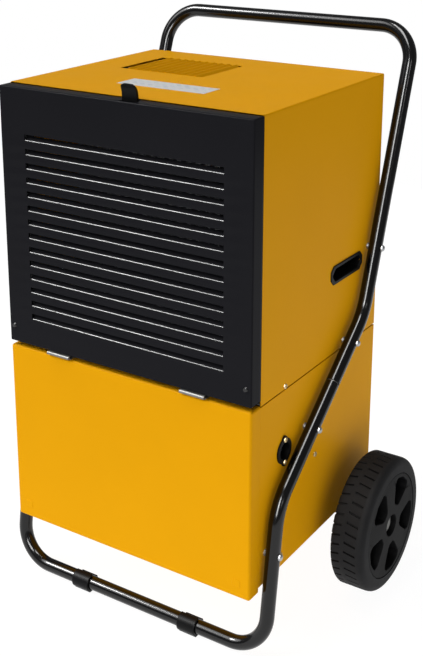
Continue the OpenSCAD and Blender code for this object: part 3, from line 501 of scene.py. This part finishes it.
def hood_shell():
    """One sheet folded over the top and down both sides, with the vent window and the two grip openings."""
    low, high = span("side_grips")
    grip_y, grip_z = (low.y + 5, high.y - 5), (low.z + 5, high.z - 5)
    ys = sorted({0.0, *grip_y, *VENT_Y, CAB_D})
    hood = Drawing()
    grid_face(hood, across_z, [-HALF_W, *VENT_X, HALF_W], ys,
              {(1, j) for j in rows_between(ys, *VENT_Y)}, TOP_Z)
    for side in SIDES:
        grid_face(hood, lambda u, v, t: (t, v, u), [SPLIT_Z + SEAM, *grip_z, TOP_Z], ys,
                  {(1, j) for j in rows_between(ys, *grip_y)}, side * HALF_W)
    return hood


def vent_blades():
    """Pressed blades: their left edges stand a little over the hood, and they fall steeply to the right."""
    pitch = (VENT_X[1] - VENT_X[0] - VENT_SLOT) / VENT_BLADES
    run, rise, drop = 9.5, 1.5, 7
    path = [(0, rise - 1.8), (0.3, rise), (1.7, rise - 0.2), (run, -drop)]
    section = ribbon(rounded(path, [0, 0.4, 1.2, 0], 4, False), -1.1)
    blades = Drawing()
    for i in range(VENT_BLADES):
        x = VENT_X[0] + VENT_SLOT + i * pitch
        blades.prism([(p.x + x, p.y + TOP_Z) for p in section], across_y, VENT_Y[0] - 1.0, VENT_Y[1] - 0.5)
    return blades


make("upper_hood_shell", hood_shell(), "cabinet", "yellow_paint", "upper_hood",
     bevel=2.2, segments=4, wall=SHEET)
make("upper_hood_vent_blades", vent_blades(), "cabinet", "yellow_paint", bevel=0.15, segments=1)

for panel in ("lower_side_left", "lower_side_right", "rear_upper_panel", "rear_lower_panel", "base_pan"):
    soften(panel, 0.4)


def folded_pan(us, ys, vs, holes, top_holes=frozenset()):
    """A pan that is open at the back: its face, cut into cells, and four folded sides."""
    pan = Drawing()
    grid_face(pan, across_y, us, vs, holes, ys[0])
    for x in (us[0], us[-1]):
        grid_face(pan, across_x, ys, vs, set(), x)
    grid_face(pan, across_z, us, ys, set(), vs[0])
    grid_face(pan, across_z, us, ys, top_holes, vs[-1])
    return pan


APRON_LOW, APRON_HIGH = span("lower_front_panel")
APRON_FACE = DOOR_LOW.y + 0.5


def corner_marks():
    """The two faint pads that are pressed out near the panel's lower corners."""
    mark = Drawing()
    outline = rounded([(181, 121), (195, 121), (195, 133), (181, 133)], 3)
    mark.loft([[(p.x, APRON_FACE + 0.2, p.y) for p in outline],
               [(188 + (p.x - 188) * 0.9, APRON_FACE - 0.55, 127 + (p.y - 127) * 0.9) for p in outline]])
    return mirrored(mark)


make("lower_front_panel_shell",
     folded_pan([APRON_LOW.x, APRON_HIGH.x], [APRON_FACE, APRON_HIGH.y], [APRON_LOW.z, APRON_HIGH.z], set()),
     "cabinet", "yellow_paint", "lower_front_panel", bevel=3.5, segments=5, wall=SHEET)
make("lower_front_panel_marks", corner_marks(), "cabinet", "yellow_paint", bevel=0.4)


# ------------------------------------------------------------------ front door

LOUVRES, LOUVRE_PITCH, LOUVRE_LOW, LOUVRE_GAP = 14, 20.75, 438, 9.5
LOUVRE_HALF = 166
LIP_DROP = 2.4
LATCH_SLOT_X, LATCH_SLOT_Y = (-1, 25), (-22, -4)


def front_door():
    us = [DOOR_LOW.x, -LOUVRE_HALF, *LATCH_SLOT_X, LOUVRE_HALF, DOOR_HIGH.x]
    vs, holes = [DOOR_LOW.z], set()
    for i in range(LOUVRES):
        lip = LOUVRE_LOW + i * LOUVRE_PITCH
        vs += [lip - LIP_DROP, lip + LOUVRE_GAP]
        holes |= {(column, 2 * i + 1) for column in (1, 2, 3)}
    vs.append(DOOR_HIGH.z)
    return folded_pan(us, [DOOR_LOW.y, *LATCH_SLOT_Y, DOOR_HIGH.y], vs, holes, {(2, 1)})


def louvre_sections():
    """A louvre's rounded lip, flush with the door's face, and its flap, which leans back and up."""
    lean = math.radians(50)
    reach, lip_r, steps = 8.5, 2.8, 8
    bend = (DOOR_LOW.y, 0.6)
    tip = (bend[0] + reach * math.sin(lean), bend[1] + reach * math.cos(lean))
    path = rounded([(bend[0], -LIP_DROP), bend, tip], [0, lip_r, 0], steps, False)
    return ribbon(path[2:steps + 2], -1.2), ribbon(path[:3], -1.2), ribbon(path[steps + 1:], -1.2)


def louvres(*sections):
    drawing = Drawing()
    for i in range(LOUVRES):
        lip = LOUVRE_LOW + i * LOUVRE_PITCH
        for section in sections:
            drawing.prism([(p.x, p.y + lip) for p in section], across_x, -LOUVRE_HALF, LOUVRE_HALF)
    return drawing


lip, foot, flap = louvre_sections()
make("front_door_shell", front_door(), "door", "black_satin_paint", "front_door",
     bevel=2.0, segments=4, wall=SHEET)
make("front_door_louvres", louvres(foot, flap), "door", "black_satin_paint")
make("front_door_louvre_lips", louvres(lip), "door", "black_steel")
soften("latch_lever", 0.7, 3)


def filter_cloth():
    """Crossing threads of the filter."""
    low, high = span("filter_mesh")
    step, y, r = 5, (low.y + high.y) / 2, 0.55
    cloth = Drawing()
    for i in range(int((high.x - low.x) / step) + 1):
        cloth.rod((low.x + i * step, y, low.z), (low.x + i * step, y, high.z), r, 4)
    for i in range(int((high.z - low.z) / step) + 1):
        cloth.rod((low.x, y, low.z + i * step), (high.x, y, low.z + i * step), r, 4)
    return cloth


replace("filter_mesh", filter_cloth())


# ------------------------------------------------------------------ screws and bolts

def cross_screw(drawing, seat, axis, radius, height, shank_r, shank):
    """A domed head with a cross recess, and its shank. seat is the point under the head."""
    u, v, w = axes(axis)
    seat = Vector(seat)

    def place(a, b, t):
        return seat + u * a + v * b + w * t

    arm, half, top = radius * 0.52, radius * 0.15, radius * 0.62
    cross = [(arm, -half), (arm, half), (half, half), (half, arm), (-half, arm), (-half, half),
             (-arm, half), (-arm, -half), (-half, -half), (-half, -arm), (half, -arm), (half, -half)]
    turns = [2 * math.pi * i / 32 for i in range(32)]

    def ring(r, t):
        return [place(r * math.cos(a), r * math.sin(a), t) for a in turns]

    drawing.sheet_with_holes([(top * math.cos(a), top * math.sin(a)) for a in turns], [cross], place, height)
    floor = [place(a, b, height * 0.35) for a, b in cross]
    drawing.loft([[place(a, b, height) for a, b in cross], floor], caps=False)
    drawing.bm.faces.new([drawing.bm.verts.new(p) for p in floor])
    drawing.loft([ring(top, height), ring(radius * 0.86, height * 0.86), ring(radius * 0.97, height * 0.5),
                  ring(radius, 0.0), ring(shank_r, 0.0), ring(shank_r, -shank)], caps=False)
    drawing.bm.faces.new([drawing.bm.verts.new(p) for p in ring(shank_r, -shank)])


def screws(node, head=2.2, only=lambda size: True):
    drawing = Drawing()
    for low, high in islands(node):
        size, middle = high - low, (low + high) / 2
        if not only(size):
            continue
        k = max(range(3), key=lambda i: size[i])
        out = Vector((0, 0, 0))
        out[k] = 1 if middle[k] > 0 else -1
        radius = (sum(size) - size[k]) / 4
        seat = middle + out * (size[k] / 2 - head)
        cross_screw(drawing, seat, out, radius, head, radius / 2, size[k] - head)
    return drawing


def frame_bolts():
    """Domed bolts through the tube, with the spacers between tube and side and the nuts inside."""
    drawing = Drawing()
    dome = [(0.0, 5.0), (0.7, 5.0), (2.0, 4.75), (3.1, 4.1), (3.9, 3.1), (4.35, 1.9), (4.5, 0.7)]
    for low, high in islands("frame_bolts"):
        side = 1 if low.x > 0 else -1
        inner, outer = sorted((abs(low.x), abs(high.x)))
        y, z = (low.y + high.y) / 2, (low.z + high.z) / 2
        long = outer - inner
        if long > 12:
            seat = outer - dome[-1][0]
            drawing.rod((side * inner, y, z), (side * seat, y, z), 3.0)
            drawing.lathe((side * seat, y, z), (side, 0, 0), dome, 40)
        else:
            hexagon = long > 3
            drawing.ring((side * inner, y, z), (side, 0, 0), 3.05, (high.z - low.z) / 2, 0, long,
                         6 if hexagon else 32)
    return drawing


replace("panel_screws", screws("panel_screws"))
replace("frame_bolts", frame_bolts(), bevel=0.25)
soften("door_fasteners", 0.2)
soften("side_grips", 0.8, 3)
soften("mains_inlet", 0.5, 3)
soften("top_label", 0.1, 1)


# ------------------------------------------------------------------ trolley frame

TUBE_R = 10.5
BORE_R = 9.0
UPPER_BEND, LOWER_BEND = Vector((279.5, 431)), Vector((27, 231))
UPPER_BEND_R, LOWER_BEND_R, CORNER_R = 90, 80, 55
JOINT_Y, JOINT_GAP = 184, 1.5


def bend(corner, d0, d1, radius, steps):
    """Points round a bend between two straight stretches that run along d0 and d1."""
    turn = d0.angle(d1)
    side = (d1 - d0 * d0.dot(d1)).normalized()
    start = corner - d0 * radius * math.tan(turn / 2)
    turns = (turn * i / steps for i in range(steps + 1))
    return [start + radius * (d0 * math.sin(a) + side * (1 - math.cos(a))) for a in turns]


def tube_path(bar, knee, knee_r, end):
    """A U-shaped tube: its bar across the cabinet, and on each side a knee and a straight end."""
    bar, knee, end = (Vector((FRAME_X, *p)) for p in (bar, knee, end))
    down = (knee - bar).normalized()
    half = bend(bar, Vector((1, 0, 0)), down, CORNER_R, 20)
    half += bend(knee, down, (end - knee).normalized(), knee_r, 14) + [end]
    return [Vector((-p.x, p.y, p.z)) for p in reversed(half)] + half, down.cross(Vector((1, 0, 0)))


handle_low, handle_high = span("handle_tube")
foot_low, foot_high = span("foot_tube")
FRAME_X = handle_high.x - TUBE_R
DIAGONAL = (UPPER_BEND - LOWER_BEND).normalized()
JOINT = LOWER_BEND + DIAGONAL * ((JOINT_Y - LOWER_BEND.x) / DIAGONAL.x)
HANDLE_BAR = (handle_high.y - TUBE_R, handle_high.z - TUBE_R)
FOOT_BAR = (foot_low.y + TUBE_R, foot_low.z + TUBE_R)

for tube, bar, knee, knee_r, end in (
    ("handle_tube", HANDLE_BAR, UPPER_BEND, UPPER_BEND_R, JOINT + DIAGONAL * JOINT_GAP / 2),
    ("foot_tube", FOOT_BAR, LOWER_BEND, LOWER_BEND_R, JOINT - DIAGONAL * JOINT_GAP / 2),
):
    path, square_to = tube_path(bar, knee, knee_r, end)
    replace(tube, Drawing().pipe(path, TUBE_R, 40, BORE_R, square_to), bevel=0.35, segments=2, limit=60)

soften("foot_pads", 0.8, 3)


# ------------------------------------------------------------------ wheels

wheel_low, wheel_high = span("tyre_right")
WHEEL_IN, WHEEL_OUT = wheel_low.x, wheel_high.x
WHEEL_W = WHEEL_OUT - WHEEL_IN
WHEEL_R = (wheel_high.z - wheel_low.z) / 2
AXLE = ((wheel_low.y + wheel_high.y) / 2, WHEEL_R)
RIM_R = (span("wheel_right")[1].z - span("wheel_right")[0].z) / 2
POCKETS, POCKET_DEPTH, POCKET_TURN = 5, 43, math.radians(6)


def on_wheel(u, v, t):
    """A point on the right wheel: u down from the axle, v to the back, t out from the wheel's inner face."""
    return (WHEEL_IN + t, AXLE[0] + v, AXLE[1] - u)


def turned(points, angle):
    c, s = math.cos(angle), math.sin(angle)
    return [Vector((c * p.x - s * p.y, s * p.x + c * p.y)) for p in points]


def wheel_centre():
    """A solid disc with five tapered pockets, spokes between them and a recessed hub."""
    hub_r, hub_depth, bore, dish = 17, 12, 8.05, 0.6
    outline = [(32, -6), (37, -11), (60, -23), (71, -23), (76, 0), (71, 23), (60, 23), (37, 11), (32, 6)]
    pocket = rounded(outline, [3, 12, 6, 8, 0, 8, 6, 12, 3], 5)
    middle = Vector((60, 0))
    disc = Drawing()
    face = [turned(pocket, 2 * math.pi * i / POCKETS + POCKET_TURN) for i in range(POCKETS)]
    round_hub = [Vector((hub_r * math.cos(a), hub_r * math.sin(a))) for a in
                 (2 * math.pi * i / 96 for i in range(96))]

    def ring(radius, t):
        return [on_wheel(p.x * radius / hub_r, p.y * radius / hub_r, t) for p in round_hub]

    rim = [p * (RIM_R - 0.8) / hub_r for p in round_hub]
    disc.sheet_with_holes(rim, [*face, round_hub], on_wheel, WHEEL_W - dish)
    for i in range(POCKETS):
        inner = turned([middle + (p - middle) * 0.9 for p in pocket], 2 * math.pi * i / POCKETS + POCKET_TURN)
        floor = [on_wheel(p.x, p.y, WHEEL_W - POCKET_DEPTH) for p in inner]
        disc.loft([[on_wheel(p.x, p.y, WHEEL_W - dish) for p in face[i]], floor], caps=False)
        disc.bm.faces.new([disc.bm.verts.new(p) for p in floor])
    disc.loft([ring(hub_r, WHEEL_W - dish), ring(hub_r - 0.6, WHEEL_W - hub_depth),
               ring(bore, WHEEL_W - hub_depth), ring(bore, 0), ring(RIM_R - 0.8, 0),
               ring(RIM_R - 0.8, WHEEL_W - dish)], caps=False)
    return disc


def tyre():
    """One skin: two rows of blocks between narrow grooves, a plain band between them and round shoulders."""
    blocks, groove, depth = 43, 0.17, 3.2
    rows = ((0.0, 16.5, -0.028, 0.0), (24.0, 43.0, 0.034, 0.45))
    shoulder = rounded([(43.0, WHEEL_R), (WHEEL_W - 4.5, WHEEL_R - 1), (WHEEL_W - 0.6, WHEEL_R - 9),
                        (WHEEL_W, RIM_R)], [0, 9, 12, 0], 4)
    across = [(1.0, WHEEL_R - 5, 0), (1.9, WHEEL_R - 2.6, 0), (3.5, WHEEL_R - 0.8, 0), (5.0, WHEEL_R, 0)]
    across += [(x, WHEEL_R, 0) for x in (10.5, 16.5)] + [(16.75, WHEEL_R, None), (23.75, WHEEL_R, None)]
    across += [(x, WHEEL_R, 1) for x in (24.0, 30.5, 37.0, 42.5)] + [(43.0, WHEEL_R, None)]
    across += [(p.x, p.y, None) for p in shoulder[1:-1]]
    pitch = 2 * math.pi / blocks
    rings = []
    for i in range(blocks):
        for share, cut in ((0.0, 1), (groove, 1), (groove + 0.03, 0), (0.6, 0), (0.97, 0)):
            ring = [(WHEEL_IN, RIM_R, 0.0), (WHEEL_IN, WHEEL_R - 10, 0.0)]
            for x, radius, row in across:
                low, high = rows[0], rows[1]
                if row is not None:
                    x0, x1, lean, phase = rows[row]
                    shift = phase * pitch + lean * (x - x0) / (x1 - x0)
                else:
                    start, end = low[2], high[3] * pitch
                    k = min(1.0, max(0.0, (x - low[1]) / (high[0] - low[1])))
                    shift = start + (end - start) * k
                    if x >= high[1]:
                        shift = high[3] * pitch + high[2]
                sunk = depth if cut and row is not None else 0.0
                ring.append((WHEEL_IN + x, radius - sunk, shift))
            ring.append((WHEEL_OUT, RIM_R, ring[-1][2]))
            a = pitch * (i + share)
            rings.append([(x, AXLE[0] + r * math.cos(a + s), AXLE[1] + r * math.sin(a + s))
                          for x, r, s in ring])
    return Drawing().loft(rings, loop=True)


for side, name in ((1, "right"), (-1, "left")):
    flip = Matrix.Scale(side, 4, (1, 0, 0))
    replace("wheel_" + name, Drawing().add(wheel_centre(), flip), bevel=1.1, segments=3, limit=50)
    replace("tyre_" + name, Drawing().add(tyre(), flip), sharp=38)


# ------------------------------------------------------------------ fan, guard and controls

GUARD_LOW, GUARD_HIGH = span("outlet_guard")
FAN = ((GUARD_LOW.x + GUARD_HIGH.x) / 2, (GUARD_LOW.z + GUARD_HIGH.z) / 2)


def outlet_guard():
    """Wire rings welded to spokes, inside a flat outer ring."""
    outer = (GUARD_HIGH.x - GUARD_LOW.x) / 2
    wire_r, y = 1.2, GUARD_HIGH.y - 1.3
    guard = Drawing()
    for radius in range(20, 100, 15):
        guard.torus((FAN[0], y, FAN[1]), (0, 1, 0), radius, wire_r)
    for i in range(8):
        a = math.pi * i / 4
        c, s, reach = math.cos(a), math.sin(a), outer - 4
        guard.rod((FAN[0] + 10 * c, y - 1.2, FAN[1] + 10 * s),
                  (FAN[0] + reach * c, y - 1.2, FAN[1] + reach * s), wire_r, 10)
    guard.lathe((FAN[0], y - 1.2, FAN[1]), (0, 1, 0), [(-0.6, 12), (1.2, 12), (1.9, 11), (2.1, 3)], 48)
    guard.ring((FAN[0], CAB_D, FAN[1]), (0, 1, 0), outer - 10, outer, 0.0, GUARD_HIGH.y - CAB_D)
    return guard


def fan_rotor():
    """A hub with five twisted and cambered blades."""
    low, high = span("fan_rotor")
    middle = (low.y + high.y) / 2
    drawing = Drawing()
    drawing.lathe((FAN[0], low.y, FAN[1]), (0, 1, 0),
                  [(1, 4.1), (1, 30), (3, 33), (5, 34), (23, 34), (25.5, 31), (26, 26), (26, 4.1)], 64, True)
    sections = ((31, 34, 44), (50, 43, 37), (70, 50, 31), (88, 52, 27), (97, 44, 25), (101, 28, 24))
    for i in range(5):
        turn = 2 * math.pi * i / 5
        rings = []
        for radius, chord, pitch in sections:
            c, s = math.cos(math.radians(pitch)), math.sin(math.radians(pitch))
            ring = []
            for side in (1, -1):
                for k in range(9):
                    f = side * (k / 8 - 0.5)
                    half_t = side * 1.1 * math.sqrt(max(0.0, 1 - (2 * f) ** 2))
                    bow = 4.0 * (0.25 - f * f) + half_t
                    along, up = chord * f * c - bow * s, chord * f * s + bow * c
                    a = turn + along / radius
                    ring.append((FAN[0] + radius * math.cos(a), middle + up * 0.62,
                                 FAN[1] + radius * math.sin(a)))
            rings.append(ring[:8] + ring[9:17])
        drawing.loft(rings)
    return drawing


def control_ticks():
    """Tick marks round the knob."""
    low, high = span("humidistat_knob")
    x, z = (low.x + high.x) / 2, (low.z + high.z) / 2
    plate = span("control_plate")[1].y
    ticks = Drawing()
    for i in range(11):
        a = math.radians(-45 + 27 * i)
        along, across = Vector((math.cos(a), 0, math.sin(a))), Vector((-math.sin(a), 0, math.cos(a))) * 0.5
        inner, outer = Vector((x, plate - 0.1, z)) + along * 22, Vector((x, plate - 0.1, z)) + along * 25.5
        rise = Vector((0, 0.35, 0))
        ring = [inner - across, outer - across, outer + across, inner + across]
        ticks.loft([ring, [p + rise for p in ring]])
    return ticks


def meter_window():
    """The meter's dark window with its row of blank drums."""
    low, high = span("hour_meter")
    z = (low.z + high.z) / 2
    window = Drawing().block((low.x + 4, high.y - 0.2, z - 5.5), (high.x - 4, high.y + 0.4, z + 5.5))
    drums = Drawing()
    for i in range(6):
        x = low.x + 6 + i * 4.8
        drums.prism(rounded([(x, z - 3.6), (x + 3.9, z - 3.6), (x + 3.9, z + 3.6), (x, z + 3.6)], 0.5, 2),
                    across_y, high.y, high.y + 0.7)
    return window, drums


def indicator_lamps():
    lamps = Drawing()
    for low, high in islands("indicator_lamps"):
        x, z, r = (low.x + high.x) / 2, (low.z + high.z) / 2, (high.x - low.x) / 2
        lens = [(0, r - 1.6), (high.y - low.y - 3, r - 1.6), (high.y - low.y - 3, r)]
        lens += [(high.y - low.y - 3 + 3 * math.sin(a), r * math.cos(a)) for a in
                 (math.radians(10 * k) for k in range(1, 9))]
        lamps.lathe((x, low.y, z), (0, 1, 0), lens, 32)
    return lamps


replace("outlet_guard", outlet_guard(), bevel=0.3, limit=60)
replace("fan_rotor", fan_rotor())
replace("indicator_lamps", indicator_lamps())
window, drums = meter_window()
make("control_plate_ticks", control_ticks(), "cabinet", "meter_face")
make("hour_meter_window", window, "cabinet", "black_plastic", bevel=0.15)
make("hour_meter_drums", drums, "cabinet", "meter_face")


# ------------------------------------------------------------------ the rest keeps its CAD shape

done = {n for o in bpy.data.objects for n in list(o.get("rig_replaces", []))}
SOFT_EDGE = {"compressor": 1.5, "water_tank": 1.0, "fan_motor": 1.0, "drip_tray": 1.0, "axle": 0.6}
for node in sorted(set(frame["nodes"]) - done):
    soften(node, SOFT_EDGE.get(node, 0.3))


# ------------------------------------------------------------------ stage, light and camera

def stage():
    bpy.ops.mesh.primitive_plane_add(size=4.4, location=(0, 0, -0.0005))
    floor = bpy.context.object
    floor.name = "floor"
    n = Nodes("floor")
    n.wire(Base_Color=n.tint(n.noise(0.6, 2), (0.13, 0.13, 0.13), (0.14, 0.14, 0.14)))
    n.fixed(Roughness=0.95, Specular_IOR_Level=0.0, Emission_Color=(1, 1, 1, 1), Emission_Strength=0.95)
    floor.data.materials.append(n.mat)


def hang(name, light, aim, place=(0, 0, 3), glossy_only=False):
    lamp = bpy.data.objects.new(name, light)
    bpy.context.scene.collection.objects.link(lamp)
    lamp.location = place
    lamp.rotation_euler = Vector(aim).to_track_quat("-Z", "Y").to_euler()
    lamp.visible_camera = False
    lamp.visible_diffuse = not glossy_only


def softbox(name, place, target, power):
    light = bpy.data.lights.new(name, "AREA")
    light.shape, light.energy = "RECTANGLE", power
    light.size, light.size_y = 0.7, 1.5
    hang(name, light, Vector(target) - Vector(place), place, True)


def lights():
    world = bpy.data.worlds.new("studio")
    bpy.context.scene.world = world
    world.use_nodes = True
    tree = world.node_tree
    shown = tree.nodes.new("ShaderNodeLightPath").outputs["Is Camera Ray"]
    amount = tree.nodes.new("ShaderNodeMapRange")
    amount.inputs["To Min"].default_value = 0.2
    amount.inputs["To Max"].default_value = 1.0
    tree.links.new(shown, amount.inputs["Value"])
    background = tree.nodes["Background"]
    background.inputs["Color"].default_value = (1, 1, 1, 1)
    tree.links.new(amount.outputs["Result"], background.inputs["Strength"])
    for name, aim, energy, spread, glossy_only in (("key", (0.58, 0.45, -0.68), 1.72, 40, False),
                                                   ("glint", (0.58, 0.45, -0.68), 2.2, 10, True),
                                                   ("front", (-0.22, 0.85, -0.48), 0.3, 6, False),
                                                   ("top", (0.1, 0.15, -1), 0.45, 8, False),
                                                   ("right", (-0.8, 0.5, -0.35), 0.1, 6, False)):
        sun = bpy.data.lights.new(name, "SUN")
        sun.energy, sun.angle = energy, math.radians(spread)
        hang(name, sun, aim, glossy_only=glossy_only)
    softbox("front_box", (0.75, -2.35, 1.35), (0.22, -0.1, 0.5), 60)
    softbox("top_box", (0.4, -0.75, 2.75), (0.23, -0.1, 0.45), 50)


def camera():
    data = bpy.data.cameras.new("camera")
    data.sensor_width, data.lens = 36, 63.67
    data.shift_x, data.shift_y = 0.0094, -0.2149
    obj = bpy.data.objects.new("camera", data)
    bpy.context.scene.collection.objects.link(obj)
    obj.location = (0.9169, -1.4184, 1.0867)
    yaw, tilt = math.radians(33.21), math.radians(-15.69)
    obj.rotation_euler = (math.pi / 2 + tilt, 0, yaw)
    bpy.context.scene.camera = obj


stage()
lights()
camera()
bpy.context.scene.view_settings.view_transform = "Standard"
